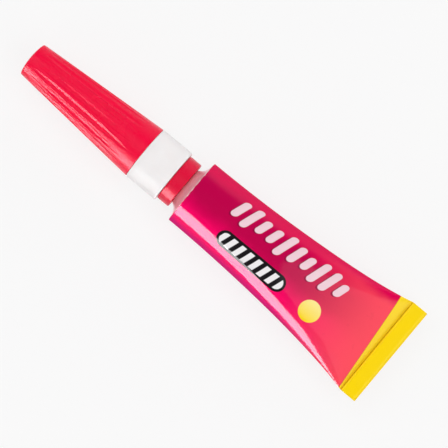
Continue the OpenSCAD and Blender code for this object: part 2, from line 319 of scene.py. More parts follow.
def section(t, inset):
    """Evenly spaced points of the tube's section from its top, their arc lengths and the girth."""
    high = TUBE_R + (RIBBON_T / 2 - TUBE_R) * flare(t)
    wide = TUBE_R + (FOLD_W / 2 - TUBE_R) * flare(t)
    f = np.linspace(0, 2 * math.pi, SECTION_POINTS)
    s = np.sin(f)
    y = (high - inset) * s * np.abs(s) + (wide - high) * s
    z = (high - inset) * np.cos(f) * np.sqrt(1 + s * s)
    run = np.concatenate([[0], np.cumsum(np.hypot(np.diff(y), np.diff(z)))])
    at = np.arange(AROUND) / AROUND * run[-1]
    return np.interp(at, run, y), np.interp(at, run, z), at, run[-1]


def dents(t, around, top):
    """Small unevenness of the pressed wall: soft waves, and creases that run to the corners of the tail."""
    wave_a = np.sin(WAVE_A_ROUND * around + WAVE_A_ALONG * t + WAVE_A_START)
    wave_b = np.sin(WAVE_B_ALONG * t + WAVE_B_ROUND * around)
    out = WAVE_DEPTH * (wave_a * wave_b) * t * (1 - t ** WAVE_END_POWER)
    for side, start, depth in CREASES:
        reach = np.clip((t - start) / (1 - start), 0, 1)
        line = side * (CREASE_FROM + CREASE_RUN * reach)
        crease = np.exp(-(((around - line) / CREASE_W) ** 2))
        ends = smooth_step(reach * CREASE_RISE), smooth_step((1 - t) * CREASE_FADE)
        out = out - CREASE_DEPTH * depth * crease * ends[0] * ends[1] * top
    return out


def printed(obj, prints):
    """Keeps each point's place in the print: distance from the shoulder, distance round, and height."""
    layer = obj.data.attributes.new("print_mm", "FLOAT_VECTOR", "POINT")
    layer.data.foreach_set("vector", np.array(prints, np.float32).ravel())
    return obj


def tube_body():
    """The printed side wall, from the rounded shoulder edge to the fold line, with its inner face."""
    shares = [1 - (1 - i / RINGS) ** RINGS_POWER for i in range(RINGS + 1)]
    verts, prints, rows = [], [], []

    def ring(t, inset, x, wall):
        y, z, at, girth = section(t, inset)
        around = np.where(at > girth / 2, at - girth, at)
        top = (z > 0).astype(float)
        shift = dents(t, around, top) * wall
        normal = np.stack([y, z * 2], 1)
        normal /= np.linalg.norm(normal, axis=1)[:, None]
        y, z = y + shift * normal[:, 0], z + shift * normal[:, 1]
        rows.append(list(range(len(verts), len(verts) + AROUND)))
        verts.extend(zip(np.full(AROUND, x), y, AXIS_Z + z))
        prints.extend(zip(np.full(AROUND, SHOULDER_X - x), around, z))

    for angle in (math.radians(d) for d in RIM_DEG):
        ring(0, RIM_ROUND * (1 - math.sin(angle)), SHOULDER_X - RIM_ROUND * (1 - math.cos(angle)), 0)
    for inset, order in ((0, shares), (TUBE_WALL, shares[::-1])):
        for t in order:
            x = SHOULDER_X - RIM_ROUND - t * (TUBE_L - RIM_ROUND)
            ring((SHOULDER_X - x) / TUBE_L, inset, x, 1)
    ring(0, RIM_ROUND + TUBE_WALL, SHOULDER_X - TUBE_WALL, 0)
    return printed(mesh_object("tube_body", verts, skin(rows, closed=True)), prints)


# The folded tail: a flattened ribbon that goes down, back and in between
LAYER = RIBBON_T + LAYER_GAP
FOLD_LAP = 0.05
FOLD_ROUND = 0.12
FOLD_ROUND_DEG = (0, 30, 60, 90)
FOLD_STEPS = 72
BEND_STEPS = 10
FIRST_STEPS = 8
LAYER_STEPS = 7


def fold_line():
    """Middle line of the folded ribbon, from the fold line to the tucked end: x and height over the axis."""
    outer = FOLD_X - FOLD_H + LAYER + RIBBON_T / 2
    inner = FOLD_X - (LAYER + RIBBON_T) / 2
    turns = np.linspace(0, math.pi, BEND_STEPS + 1)
    line = [(x, 0) for x in np.linspace(FOLD_X + FOLD_LAP, outer, FIRST_STEPS, endpoint=False)]
    line += [(outer - LAYER * math.sin(a), LAYER - LAYER * math.cos(a)) for a in turns]
    line += [(x, 2 * LAYER) for x in np.linspace(outer, inner, LAYER_STEPS)[1:-1]]
    line += [(inner + LAYER / 2 * math.sin(a), 1.5 * LAYER + LAYER / 2 * math.cos(a)) for a in turns]
    line += [(x, LAYER) for x in np.linspace(inner, outer, LAYER_STEPS)[1:]]
    return np.array(line)


def tail_fold():
    """The ribbon of two pressed walls, swept across the tail with rounded ends."""
    line = fold_line()
    along = np.gradient(line, axis=0)
    along /= np.linalg.norm(along, axis=1)[:, None]
    across = np.stack([-along[:, 1], along[:, 0]], 1)
    half = RIBBON_T / 2
    loop = np.concatenate([line + across * half, (line - across * half)[::-1]])
    middle = np.concatenate([line, line[::-1]])
    ends = [math.radians(d) for d in FOLD_ROUND_DEG]
    shrink = [(FOLD_ROUND * (1 - math.sin(a)), FOLD_ROUND * (1 - math.cos(a))) for a in ends]
    half_w = FOLD_W / 2
    stations = [(-half_w + s[1], 1 - s[0] / half) for s in shrink]
    stations += [(y, 1) for y in np.linspace(-half_w + FOLD_ROUND, half_w - FOLD_ROUND, FOLD_STEPS)[1:-1]]
    stations += [(half_w - s[1], 1 - s[0] / half) for s in reversed(shrink)]
    verts, prints, rows = [], [], []
    for y, scale in stations:
        rows.append(list(range(len(verts), len(verts) + len(loop))))
        points = middle + (loop - middle) * scale
        verts.extend((x, y, AXIS_Z + z) for x, z in points)
        prints.extend((SHOULDER_X - x, y, z) for x, z in points)
    n = len(loop)
    faces = [
        (a[k], a[(k + 1) % n], b[(k + 1) % n], b[k])
        for a, b in zip(rows, rows[1:])
        for k in range(n)
    ]
    for row, front in ((rows[0], True), (rows[-1], False)):
        for k in range(n // 2 - 1):
            quad = (row[k], row[n - 1 - k], row[n - 2 - k], row[k + 1])
            faces.append(quad if front else quad[::-1])
    return printed(mesh_object("tail_fold", verts, faces), prints)


# The shoulder and neck
SHOULDER_HOLLOW = 0.28
CONE_STEPS = 8
FOOT_INSET = 0.03
RIM_CLEAR = 0.01
SKIRT_L = 0.3
SKIRT_END_T = 0.1
SKIRT_ROOT_T = 0.2
NECK_ROUND = 0.15
NECK_FOOT_ROUND = 0.1
LEDGE_ROUND = 0.08
FOOT_ROUND = 0.05
BORE_ROUND = 0.1


def shoulder_and_neck():
    """Bare aluminium shoulder, hollowed towards the neck, with the threaded neck and its membrane."""
    core = NECK_R - NECK_THREAD_H
    bore = core - NECK_WALL
    ledge_r = NECK_R + LEDGE_W
    rim_r = TUBE_R - TUBE_WALL - RIM_CLEAR
    foot_r = TUBE_R - RIM_ROUND - FOOT_INSET
    skirt_x = SHOULDER_X - SHOULDER_WALL
    lead = NECK_PITCH * LEAD_SHARE
    neck_l = NECK_X - LEDGE_X
    cone = []
    for s in (k / CONE_STEPS for k in range(1, CONE_STEPS)):
        sag = SHOULDER_HOLLOW * math.sin(math.pi * s)
        cone.append(corner(SHOULDER_X + SHOULDER_H * s - sag, foot_r + (ledge_r - foot_r) * s - sag))
    corners = [
        corner(NECK_X, 0),
        corner(NECK_X, core, NECK_ROUND, THREAD_STEP, "thread"),
        corner(LEDGE_X + lead / 3, core, 0, THREAD_STEP),
        corner(LEDGE_X, core, NECK_FOOT_ROUND),
        corner(LEDGE_X, ledge_r, LEDGE_ROUND),
        *reversed(cone),
        corner(SHOULDER_X, foot_r, FOOT_ROUND),
        corner(skirt_x, rim_r),
        corner(skirt_x - SKIRT_L, rim_r),
        corner(skirt_x - SKIRT_L, rim_r - SKIRT_END_T),
        corner(skirt_x, rim_r - SKIRT_ROOT_T),
        corner(LEDGE_X - SHOULDER_WALL, ledge_r),
        corner(LEDGE_X - SHOULDER_WALL, bore, BORE_ROUND),
        corner(NECK_X - MEMBRANE_T, bore, BORE_ROUND),
        corner(NECK_X - MEMBRANE_T, 0),
    ]
    relief = {"thread": thread(LEDGE_X + lead, NECK_PITCH, NECK_THREAD_H, (neck_l - 2 * lead) / NECK_PITCH)}
    return turned("shoulder_neck", corners, ROUND_SIDES, relief)


# The spacer ring
RING_BORE_ROUND = 0.12
RING_EDGE_ROUND = 0.22


def spacer_ring():
    """The red ring between shoulder and nozzle, rounded like a moulding."""
    bore = NECK_R + RING_CLEAR
    corners = [
        corner(ring_lo[0], bore, RING_BORE_ROUND),
        corner(ring_lo[0], RING_R, RING_EDGE_ROUND),
        corner(ring_hi[0], RING_R, RING_EDGE_ROUND),
        corner(ring_hi[0], bore, RING_BORE_ROUND),
    ]
    return turned("spacer_ring", corners, ROUND_SIDES, closed=True)


# The nozzle
SPIKE_ROUND = 0.04
ROOF_ROUND = 0.15
COLLAR_BORE_ROUND = 0.12
COLLAR_FOOT_ROUND = 0.16
COLLAR_EDGE_ROUND = 0.14
STEM_FOOT_ROUND = 0.12
STEM_EDGE_ROUND = 0.2
SPOUT_FOOT_ROUND = 0.25
TAPER_ROUND = 1.5
TIP_ROUND = 0.2
ORIFICE_ROUND = 0.1


def nozzle_body():
    """White nozzle: threaded collar, threaded stem, spout with its orifice, and the piercing spike inside."""
    bore = NECK_R + SCREW_CLEAR
    spike_x = NECK_X + SPIKE_GAP
    neck_lead, stem_lead = NECK_PITCH * LEAD_SHARE, STEM_PITCH * LEAD_SHARE
    first = LEDGE_X + neck_lead
    turn = math.ceil((COLLAR_X + neck_lead - first) / NECK_PITCH - 0.5) + 0.5
    grip = first + turn * NECK_PITCH
    inner = thread(grip, NECK_PITCH, NECK_THREAD_H, (ROOF_X - neck_lead - grip) / NECK_PITCH)
    corners = [
        corner(spike_x, ORIFICE_R),
        corner(spike_x, ORIFICE_R + SPIKE_EDGE, SPIKE_ROUND),
        corner(ROOF_X, SPIKE_R, ROOF_ROUND),
        corner(ROOF_X, bore, ROOF_ROUND, THREAD_STEP, "inner"),
        corner(COLLAR_X, bore, COLLAR_BORE_ROUND),
        corner(COLLAR_X, COLLAR_R, COLLAR_FOOT_ROUND),
        corner(DECK_X, COLLAR_R, COLLAR_EDGE_ROUND),
        corner(DECK_X, STEM_R, STEM_FOOT_ROUND, THREAD_STEP, "stem"),
        corner(STEM_X, STEM_R, STEM_EDGE_ROUND),
        corner(STEM_X, SPOUT_R, SPOUT_FOOT_ROUND),
        corner(TAPER_X, TIP_R, TAPER_ROUND),
        corner(TIP_X, TIP_R, TIP_ROUND),
        corner(TIP_X, ORIFICE_R, ORIFICE_ROUND),
        corner(TAPER_X, ORIFICE_R),
        corner(STEM_X, SPOUT_R - SPOUT_WALL),
        corner(STEM_X, ORIFICE_R),
    ]
    stem_turns = (STEM_L - 2 * stem_lead) / STEM_PITCH
    relief = {
        "inner": lambda x, turn: -inner(x, turn),
        "stem": thread(DECK_X + stem_lead, STEM_PITCH, STEM_THREAD_H, stem_turns),
    }
    return turned("nozzle_body", corners, ROUND_SIDES, relief, closed=True)


# The cap and its pin
FLUTE_PITCH = 2 * math.pi / FLUTE_N
FLUTE_SIDES = 20
FLUTE_POINTS_SHARE = 0.7
FLUTE_LEAST_SHARE = 0.25
DOME_STEPS = 10
GATE_DEPTH = 0.12
GATE_FLOOR_R = 0.28
GATE_R = 0.42
GATE_LIP = 0.02
GATE_ROUND = 0.05
CROWN_ROUND = 0.35
CAP_FOOT_ROUND = 0.14
CAP_INNER_ROUND = 0.1
CAP_ROOF_ROUND = 0.2
BOSS_ROOT_ROUND = 0.08
BOSS_HOLE_ROUND = 0.05
PIN_TIP_ROUND = 0.22
PIN_END_ROUND = 0.08


def cap_radius(x):
    """Radius of the cap's cone at x."""
    return CAP_R + (CAP_TIP_R - CAP_R) * (x - CAP_X) / (CONE_X - CAP_X)


def flute_left(x):
    """What is left of a flute's depth at x: 1 at its middle, 0 at its ends and below 0 beyond them."""
    x0, x1 = CAP_X + FLUTE_FROM_MOUTH, CONE_X - FLUTE_FROM_CROWN
    along = (2 * x - x0 - x1) / (x1 - x0)
    return 1 - along * along


def flutes(x, turn):
    """Relief of the lens-shaped flutes round the cap."""
    off = cap_radius(x) * (turn - FLUTE_PITCH * np.round(turn / FLUTE_PITCH))
    return -FLUTE_DEPTH * np.maximum(0, flute_left(x) - (2 * off / FLUTE_W) ** 2)


def flute_spread(x, turn):
    """Angles of the points round the cap, moved so that a row of points runs along each flute's edges."""
    middle = FLUTE_PITCH * np.round(turn / FLUTE_PITCH)
    off = (turn - middle) / (FLUTE_PITCH / 2)
    half_w = FLUTE_W / 2 * math.sqrt(max(0, flute_left(x)))
    edge = max(FLUTE_LEAST_SHARE, half_w / cap_radius(x) / (FLUTE_PITCH / 2))
    inner = np.abs(off) / FLUTE_POINTS_SHARE * edge
    outer = 1 - (1 - np.abs(off)) / (1 - FLUTE_POINTS_SHARE) * (1 - edge)
    moved = np.where(np.abs(off) < FLUTE_POINTS_SHARE, inner, outer)
    return middle + np.sign(off) * moved * FLUTE_PITCH / 2


def fluted_cap():
    """Red cap: fluted cone with a domed crown outside, threaded mouth, spout cavity and pin boss inside."""
    bore = CAP_R - MOUTH_WALL
    lead = STEM_PITCH * LEAD_SHARE
    grip = DECK_X + lead + STEM_PITCH / 2
    inner = thread(grip, STEM_PITCH, STEM_THREAD_H, (STEM_X - lead - grip) / STEM_PITCH)
    cavity = STEM_X + SEAT_GAP
    roof = BOSS_X + BOSS_H
    hole = PIN_R + PIN_CLEAR
    dome_r = (CAP_TIP_R ** 2 + CAP_DOME_H ** 2) / (2 * CAP_DOME_H)
    dome = [
        corner(CROWN_X - dome_r + math.sqrt(dome_r ** 2 - r ** 2), r)
        for r in (CAP_TIP_R * k / DOME_STEPS for k in range(2, DOME_STEPS))
    ]
    corners = [
        corner(CROWN_X - GATE_DEPTH, 0),
        corner(CROWN_X - GATE_DEPTH, GATE_FLOOR_R, GATE_ROUND),
        corner(CROWN_X - GATE_LIP, GATE_R, GATE_ROUND),
        *dome,
        corner(CONE_X, CAP_TIP_R, CROWN_ROUND, FLUTE_STEP, "flutes"),
        corner(CAP_X, CAP_R, CAP_FOOT_ROUND),
        corner(CAP_X, bore, CAP_INNER_ROUND, THREAD_STEP, "inner"),
        corner(cavity, bore, CAP_INNER_ROUND),
        corner(cavity, cap_radius(cavity) - CAP_WALL, CAP_INNER_ROUND),
        corner(roof, cap_radius(roof) - CAP_WALL, CAP_ROOF_ROUND),
        corner(roof, hole + BOSS_WALL, BOSS_ROOT_ROUND),
        corner(BOSS_X, hole + BOSS_WALL, CAP_INNER_ROUND),
        corner(BOSS_X, hole, BOSS_HOLE_ROUND),
        corner(PIN_END_X + SEAT_GAP, hole),
        corner(PIN_END_X + SEAT_GAP, 0),
    ]
    relief = {"flutes": flutes, "inner": lambda x, turn: -inner(x, turn)}
    spread = {"flutes": flute_spread}
    sides = FLUTE_N * FLUTE_SIDES
    return turned("fluted_cap", corners, sides, relief, spread=spread, sharp_deg=FLUTE_SHARP_DEG)


def orifice_pin():
    """Steel wire pin in the cap, rounded at the end that enters the orifice."""
    corners = [
        corner(PIN_X, 0),
        corner(PIN_X, PIN_R, PIN_TIP_ROUND),
        corner(PIN_END_X, PIN_R, PIN_END_ROUND),
        corner(PIN_END_X, 0),
    ]
    return turned("orifice_pin", corners, PIN_SIDES)


# Materials
class Nodes:
    """One procedural material, built with short calls."""

    def __init__(self, name, **sockets):
        self.material = bpy.data.materials.new(name)
        self.material.use_nodes = True
        self.tree = self.material.node_tree
        self.shader = self.tree.nodes["Principled BSDF"]
        self.set(**sockets)

    def set(self, **sockets):
        """Sets the shader's sockets, to constants or to other sockets."""
        for key, value in sockets.items():
            self.feed(self.shader.inputs[key.replace("_", " ")], value)

    def feed(self, socket, value):
        """Links or sets one socket."""
        if isinstance(value, bpy.types.NodeSocket):
            self.tree.links.new(value, socket)
        elif isinstance(value, tuple) and len(value) == 3 and socket.type == "RGBA":
            socket.default_value = (*value, 1)
        else:
            socket.default_value = value

    def math(self, kind, *values, clamp=False):
        """One math node."""
        node = self.tree.nodes.new("ShaderNodeMath")
        node.operation = kind
        node.use_clamp = clamp
        for socket, value in zip(node.inputs, values):
            self.feed(socket, value)
        return node.outputs[0]

    def minus(self, a, b):
        """a less b."""
        return self.math("SUBTRACT", a, b)

    def times(self, a, b):
        """a times b."""
        return self.math("MULTIPLY", a, b)

    def hypot(self, a, b):
        """Length of a step of a along one axis and b along the other."""
        squares = [self.math("POWER", v, 2.0) for v in (a, b)]
        return self.math("SQRT", self.math("ADD", *squares))

    def between(self, value, low, high):
        """A 0 to 1 value spread from low to high."""
        return self.math("MULTIPLY_ADD", value, high - low, low)

    def edge(self, distance, soft):
        """1 where a signed distance is below zero, 0 above, with a soft edge."""
        node = self.tree.nodes.new("ShaderNodeMapRange")
        node.interpolation_type = "SMOOTHSTEP"
        for socket, value in zip(node.inputs[:5], (distance, soft, -soft, 0.0, 1.0)):
            self.feed(socket, value)
        return node.outputs[0]

    def mix(self, share, a, b):
        """Mixes two colours."""
        node = self.tree.nodes.new("ShaderNodeMix")
        node.data_type = "RGBA"
        self.feed(node.inputs["Factor"], share)
        for socket, value in zip([s for s in node.inputs if s.type == "RGBA"], (a, b)):
            self.feed(socket, value)
        return [s for s in node.outputs if s.type == "RGBA"][0]

    def split(self, vector):
        """The three numbers of a vector."""
        node = self.tree.nodes.new("ShaderNodeSeparateXYZ")
        self.feed(node.inputs[0], vector)
        return list(node.outputs)

    def place(self, stretch=(1, 1, 1)):
        """The object's own coordinates in millimetres, scaled by axis."""
        node = self.tree.nodes.new("ShaderNodeMapping")
        self.feed(node.inputs["Vector"], self.tree.nodes.new("ShaderNodeTexCoord").outputs["Object"])
        node.inputs["Scale"].default_value = tuple(s / MM for s in stretch)
        return node.outputs[0]

    def noise(self, size, detail=2.0, rough=0.5, stretch=(1, 1, 1)):
        """Noise whose grains are about size millimetres across, from 0 to 1."""
        node = self.tree.nodes.new("ShaderNodeTexNoise")
        self.feed(node.inputs["Vector"], self.place(stretch))
        node.inputs["Scale"].default_value = 1 / size
        node.inputs["Detail"].default_value = detail
        node.inputs["Roughness"].default_value = rough
        return node.outputs["Fac"]

    def lines(self, value, scale, detail):
        """Noise along one number, from 0 to 1."""
        node = self.tree.nodes.new("ShaderNodeTexNoise")
        node.noise_dimensions = "1D"
        node.inputs["Scale"].default_value = scale
        node.inputs["Detail"].default_value = detail
        self.feed(node.inputs["W"], value)
        return node.outputs["Fac"]

    def bump(self, *layers):
        """Stacks bumps, each a 0 to 1 value and its height in millimetres."""
        normal = None
        for value, height in layers:
            node = self.tree.nodes.new("ShaderNodeBump")
            node.inputs["Distance"].default_value = height * MM
            self.feed(node.inputs["Height"], value)
            if normal is not None:
                self.feed(node.inputs["Normal"], normal)
            normal = node.outputs[0]
        self.set(Normal=normal)


# Inks and base colours, each dark and light where it varies
# The four pinks below are one pink ink with painted shade and light round the tube: painted shade along the
# top and at one edge, painted light on the sides
PAINTED_SHADE_CRIMSON = (0.52, 0.001, 0.068)
PAINTED_SHADE_MAGENTA = (0.66, 0.001, 0.170)
PAINTED_LIGHT_HOT_PINK = (0.90, 0.001, 0.120)
PAINTED_LIGHT_ROSE = (0.74, 0.001, 0.080)
# Salmon is painted light on the top where it slopes down to the tail
PAINTED_LIGHT_SALMON = (0.98, 0.066, 0.104)
YELLOW = (0.97, 0.68, 0.0)
YELLOW_PALE = (0.97, 0.83, 0.30)
OVERPRINT = (0.50, 0.13, 0.004)
# Colour of the painted shade line in the fold crease
PAINTED_CREASE_SHADE = (0.16, 0.07, 0.001)
PALE_INK = (0.86, 0.62, 0.68)
SHADE_INK = (0.30, 0.002, 0.05)
BLACK_INK = (0.012, 0.010, 0.012)
WHITE_INK = (0.86, 0.84, 0.85)
WORN_EDGE = (0.83, 0.82, 0.82)
# The shoulder's pink is a painted reflection of the red ring on bare aluminium
PAINTED_REFLECTION_PINK = ((0.90, 0.48, 0.55), (0.96, 0.58, 0.64))
BARE_METAL = ((0.70, 0.70, 0.72), (0.82, 0.82, 0.83))
CAP_RED = ((0.84, 0.001, 0.040), (0.93, 0.002, 0.054))
RING_RED = ((0.72, 0.004, 0.040), (0.80, 0.005, 0.052))
MILK_WHITE = ((0.84, 0.81, 0.81), (0.89, 0.87, 0.87))
WIRE_GREY = ((0.52, 0.52, 0.54), (0.68, 0.68, 0.70))
CLEAR = ((0.95, 0.97, 0.96), (0.99, 0.99, 0.98))
TAN = ((0.62, 0.52, 0.34), (0.78, 0.70, 0.52))

# The print: all in millimetres from the shoulder edge and round from the middle of the top
BARS_START = 6.5
BARS_N = 10
BARS_PITCH = 2.15
BARS_HALF_W = 0.62
BARS_MIDDLE = -2.9
BARS_HALF_H = 1.75
BARS_SWING = 0.5
BARS_SWING_TURN = 1.9
BARS_SLANT = 0.32
SHADE_SHIFT = 0.22
CAPSULE_MIDDLE = (13.6, 2.35)
CAPSULE_HALF_L = 5.0
CAPSULE_R = 1.45
DASH_PITCH = 1.6
DASH_SHARE = 0.27
DASH_INSET = 0.42
DISC_MIDDLE = (25.2, 2.5)
DISC_R = 1.75
DRIFT = 1.2
# The next six sizes place the painted shade and light on the pinks round the tube
HOT_FROM = 1.4
HOT_SOFT = 1.7
MAGENTA_FROM = 6.0
MAGENTA_SOFT = 1.2
ROSE_FROM = -4.2
ROSE_SOFT = 1.6
# The next four sizes place the painted salmon light near the tail and keep it off the far corner
SALMON_FROM = 28.0
SALMON_SOFT = 9.0
SALMON_SIDE = -6.6
SALMON_SIDE_SOFT = 0.9
TAIL_PRINT = 35.4
TAIL_SLANT = 0.096
# Paler yellow on the wall before the fold is painted light; the cloud share below it is random tone
PAINTED_LIGHT_BEFORE_FOLD_SHARE = 0.05
TAIL_CLOUD_SHARE = 0.04
OVERPRINT_HALF = 0.04
OVERPRINT_SHARE = 0.7
# Half width of the painted shade line along the fold crease
PAINTED_CREASE_SHADE_HALF = 0.02
LINE_EDGE = 0.03
INK_EDGE = 0.05
WORN_FROM = -0.12
WORN_TO = 0.22
WORN_EDGE_SOFT = 0.04

# Heights of the bumps
DENT_BUMP = 0.022
SPECK_BUMP = 0.0008
GRAIN_BUMP = 0.0006
RINGS_BUMP = 0.006
PIT_BUMP = 0.001
FLOW_BUMP = 0.002
CLOUD_BUMP = 0.010
PEEL_BUMP = 0.0016
WIRE_BUMP = 0.002
LIQUID_BUMP = 0.02
FILM_BUMP = 0.004


def print_places(n):
    """Distance from the shoulder, distance round from the top, and height, as the print's coordinates."""
    node = n.tree.nodes.new("ShaderNodeAttribute")
    node.attribute_name = "print_mm"
    return n.split(node.outputs["Vector"])


def bars_mask(n, along, around):
    """A row of slanted, rounded bars of changing height."""
    rise = n.minus(around, BARS_MIDDLE)
    run = n.minus(n.math("MULTIPLY_ADD", rise, BARS_SLANT, along), BARS_START)
    index = n.math("FLOOR", n.math("DIVIDE", run, BARS_PITCH))
    off = n.minus(n.minus(run, n.times(index, BARS_PITCH)), BARS_PITCH / 2)
    swing = n.times(n.math("SINE", n.times(index, BARS_SWING_TURN)), BARS_SWING)
    straight = n.minus(n.math("ADD", swing, BARS_HALF_H), BARS_HALF_W)
    over = n.math("MAXIMUM", n.minus(n.math("ABSOLUTE", rise), straight), 0.0)
    bar = n.edge(n.minus(n.hypot(off, over), BARS_HALF_W), INK_EDGE)
    inside = n.times(n.math("GREATER_THAN", index, -0.5), n.math("LESS_THAN", index, BARS_N - 0.5))
    return n.times(bar, inside)


def capsule_distance(n, along, around, middle, half_l, radius):
    """Signed distance to a capsule that lies along the tube; a capsule with no length is a disc."""
    from_middle = n.math("ABSOLUTE", n.minus(along, middle[0]))
    over = n.math("MAXIMUM", n.minus(from_middle, half_l), 0.0)
    return n.minus(n.hypot(over, n.minus(around, middle[1])), radius)


def pinks_with_painted_light(n, along, drift):
    """The body's pink ink with painted shade and light round the tube: darker crimson along the top, hot pink
    towards the strip lamp's side, darker magenta at that edge and lighter rose on the other side, and a
    painted salmon light towards the tail.
    """
    # Crimson along the top is painted shade; hot pink, magenta and rose towards the sides are painted light
    # and shade
    pink = n.mix(n.edge(n.minus(HOT_FROM, drift), HOT_SOFT), PAINTED_SHADE_CRIMSON, PAINTED_LIGHT_HOT_PINK)
    pink = n.mix(n.edge(n.minus(MAGENTA_FROM, drift), MAGENTA_SOFT), pink, PAINTED_SHADE_MAGENTA)
    pink = n.mix(n.edge(n.minus(drift, ROSE_FROM), ROSE_SOFT), pink, PAINTED_LIGHT_ROSE)
    # Salmon near the tail, kept off the far corner, is painted light on the top sloping down to the fold
    painted_light_near_tail = n.edge(n.minus(SALMON_FROM, along), SALMON_SOFT)
    on_side = n.edge(n.minus(SALMON_SIDE, drift), SALMON_SIDE_SOFT)
    return n.mix(n.times(painted_light_near_tail, on_side), pink, PAINTED_LIGHT_SALMON)


def tail_ink(n, colour, along, around, cloud):
    """Lays the yellow tail, its border and a painted shade line along the fold over a colour, with painted
    light on the yellow before the fold; gives the tail's mask too.
    """
    border = n.minus(n.math("MULTIPLY_ADD", around, TAIL_SLANT, TAIL_PRINT), along)
    tail = n.edge(border, INK_EDGE)
    # Paler yellow on the wall before the fold is painted light, added to a random cloud of paleness
    painted_light_before_fold = n.math("LESS_THAN", along, TUBE_L)
    cloud_light = n.between(cloud, low=0.0, high=TAIL_CLOUD_SHARE)
    light = n.math("MULTIPLY_ADD", painted_light_before_fold, PAINTED_LIGHT_BEFORE_FOLD_SHARE, cloud_light)
    colour = n.mix(tail, colour, n.mix(light, YELLOW, YELLOW_PALE))
    overprint = n.edge(n.minus(n.math("ABSOLUTE", border), OVERPRINT_HALF), LINE_EDGE)
    colour = n.mix(n.times(overprint, OVERPRINT_SHARE), colour, OVERPRINT)
    # A thin dark line along the fold crease is painted shade, broken up by the cloud
    from_fold = n.math("ABSOLUTE", n.minus(along, TUBE_L))
    crease_shade = n.edge(n.minus(from_fold, PAINTED_CREASE_SHADE_HALF), LINE_EDGE)
    colour = n.mix(n.times(crease_shade, n.between(cloud, low=0.5, high=0.9)), colour, PAINTED_CREASE_SHADE)
    return colour, tail


def pattern_inks(n, along, around, height):
    """The plain pattern on the tube's top: mask and ink of each layer, from the lowest up."""
    top = n.math("GREATER_THAN", height, 0.0)
    shade = bars_mask(n, n.math("ADD", along, SHADE_SHIFT), n.minus(around, SHADE_SHIFT))
    bars = bars_mask(n, along, around)
    capsule = capsule_distance(n, along, around, CAPSULE_MIDDLE, CAPSULE_HALF_L, CAPSULE_R)
    slide = n.math("DIVIDE", n.math("MULTIPLY_ADD", around, BARS_SLANT, along), DASH_PITCH)
    beat = n.math("ABSOLUTE", n.minus(n.math("FRACT", slide), 0.5))
    dash = n.edge(n.times(n.minus(beat, DASH_SHARE), DASH_PITCH), INK_EDGE)
    dashes = n.times(dash, n.edge(n.math("ADD", capsule, DASH_INSET), INK_EDGE))
    disc = n.edge(capsule_distance(n, along, around, DISC_MIDDLE, 0.0, DISC_R), INK_EDGE)
    pale = n.math("MULTIPLY_ADD", n.minus(around, DISC_MIDDLE[1]), -0.5 / DISC_R, 0.5, clamp=True)
    layers = (
        (shade, SHADE_INK),
        (bars, PALE_INK),
        (n.edge(capsule, INK_EDGE), BLACK_INK),
        (dashes, WHITE_INK),
        (disc, n.mix(pale, YELLOW, YELLOW_PALE)),
    )
    return [(n.times(mask, top), ink) for mask, ink in layers]


def lacquer():
    """Pink and yellow inks on aluminium under a clear coat, with a plain pattern and a worn edge; the pinks
    carry painted shade and light, and the yellow carries a painted light and a painted shade line at the
    fold.
    """
    n = Nodes("printed_lacquer_with_painted_light", Coat_Weight=0.044, Coat_Roughness=0.06, Coat_IOR=4.0, Specular_IOR_Level=0.0)
    along, around, height = print_places(n)
    cloud = n.noise(size=5.0, detail=3.0)
    drift = n.math("ADD", around, n.between(cloud, low=-DRIFT, high=DRIFT))
    colour, tail = tail_ink(n, pinks_with_painted_light(n, along, drift), along, around, cloud)
    layers = pattern_inks(n, along, around, height)
    for mask, ink in layers:
        colour = n.mix(mask, colour, ink)
    rub = n.noise(size=0.6, detail=4.0, rough=0.65)
    worn = n.edge(n.minus(along, n.between(rub, low=WORN_FROM, high=WORN_TO)), WORN_EDGE_SOFT)
    _, bars, black, _, disc = (mask for mask, ink in layers)
    opaque = n.math("MAXIMUM", n.math("MAXIMUM", bars, black), n.math("MAXIMUM", disc, tail))
    n.set(
        Base_Color=n.mix(worn, colour, WORN_EDGE),
        Metallic=n.between(opaque, low=0.03, high=0.0),
        Roughness=n.between(n.noise(size=1.6, detail=3.0), low=0.24, high=0.34),
    )
    n.bump(
        (n.noise(size=3.5), DENT_BUMP),
        (n.noise(size=0.4), SPECK_BUMP),
        (n.noise(size=0.05, detail=1.0, stretch=(0.15, 1, 1)), GRAIN_BUMP),
    )
    return n.material


def bare_aluminium_with_painted_reflection():
    """Turned aluminium with fine rings round the axis: bare on the neck, and on the shoulder a painted pink
    reflection of the red ring.
    """
    n = Nodes("bare_aluminium_with_painted_reflection", Specular_IOR_Level=0.2)
    along, across, up = n.split(n.place())
    radius = n.hypot(across, n.minus(up, AXIS_Z))
    rings = n.lines(n.math("ADD", radius, along), scale=22.0, detail=3.0)
    smear = n.noise(size=0.8, detail=3.0)
    neck = n.edge(n.minus(radius, NECK_R + RING_CLEAR), INK_EDGE)
    # Pink on the shoulder is a painted reflection; the neck stays bare metal
    n.set(
        Base_Color=n.mix(neck, n.mix(smear, *PAINTED_REFLECTION_PINK), n.mix(smear, *BARE_METAL)),
        Metallic=n.between(neck, low=0.35, high=0.95),
        Roughness=n.between(rings, low=0.22, high=0.38),
    )
    n.bump((rings, RINGS_BUMP), (n.noise(size=0.12), PIT_BUMP))
    return n.material


def red_plastic(name, reds):
    """Glossy red moulded plastic with slight flow marks."""
    n = Nodes(
        name, IOR=1.26, Subsurface_Weight=0.06, Subsurface_Scale=0.0006, Subsurface_Radius=(1.0, 0.12, 0.12)
    )
    flow = n.noise(size=2.4, detail=3.0, stretch=(0.35, 1, 1))
    n.set(
        Base_Color=n.mix(flow, *reds),
        Roughness=n.between(n.noise(size=2.6), low=0.25, high=0.29),
    )
    n.bump((flow, FLOW_BUMP))
    return n.material


